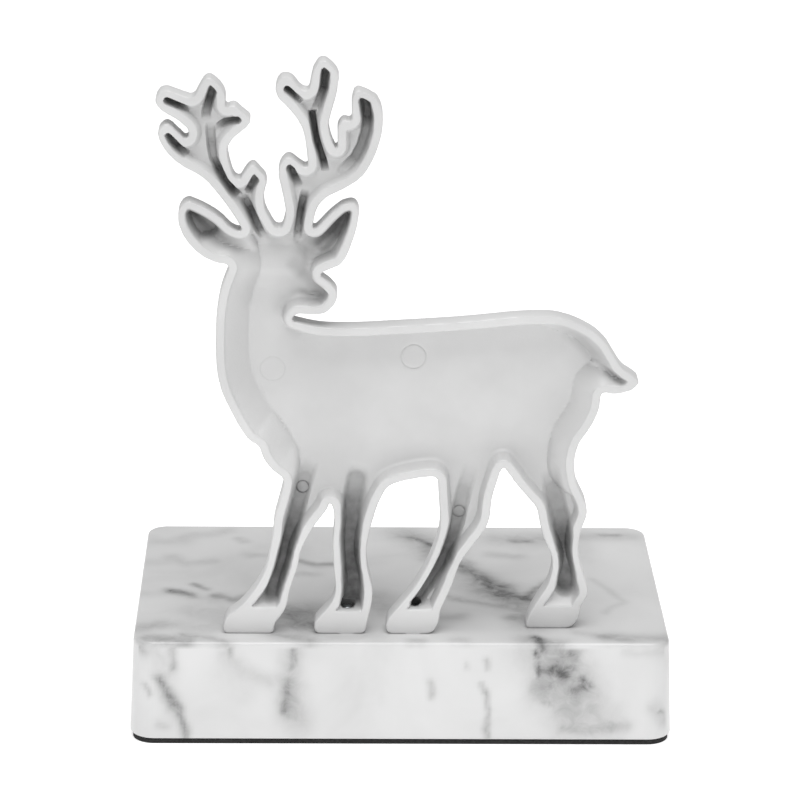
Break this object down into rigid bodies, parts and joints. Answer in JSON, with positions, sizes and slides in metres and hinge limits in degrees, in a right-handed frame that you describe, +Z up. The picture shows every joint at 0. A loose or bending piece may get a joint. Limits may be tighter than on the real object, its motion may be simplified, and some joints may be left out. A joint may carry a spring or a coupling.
{
  "type": "reindeer mantel ornament",
  "caption": "Standing reindeer half-relief casting with a hollow back, screwed from below to a rectangular marble block on a soft pad.",
  "frame": {"origin": "on the surface it stands on, under the middle of the block", "axes": "+X along the block, towards the tail; +Y the way the modelled relief faces, so the hollow back faces -Y; +Z up"},
  "size_m": [0.1422, 0.0902, 0.1811],
  "materials": {
    "satin_casting": "satin, fine cast grain",
    "cast_marble": "polished, grey clouds and veins",
    "black_foam": "matt closed-cell foam",
    "zinc_steel": "bright zinc plate"
  },
  "bodies": {
    "root": {"reindeer": "satin_casting", "marble_block": "cast_marble", "foam_pad": "black_foam", "fore_screw": "zinc_steel", "fore_flat_washer": "zinc_steel", "fore_spring_washer": "zinc_steel", "hind_screw": "zinc_steel", "hind_flat_washer": "zinc_steel", "hind_spring_washer": "zinc_steel"}
  },
  "joints": []
}
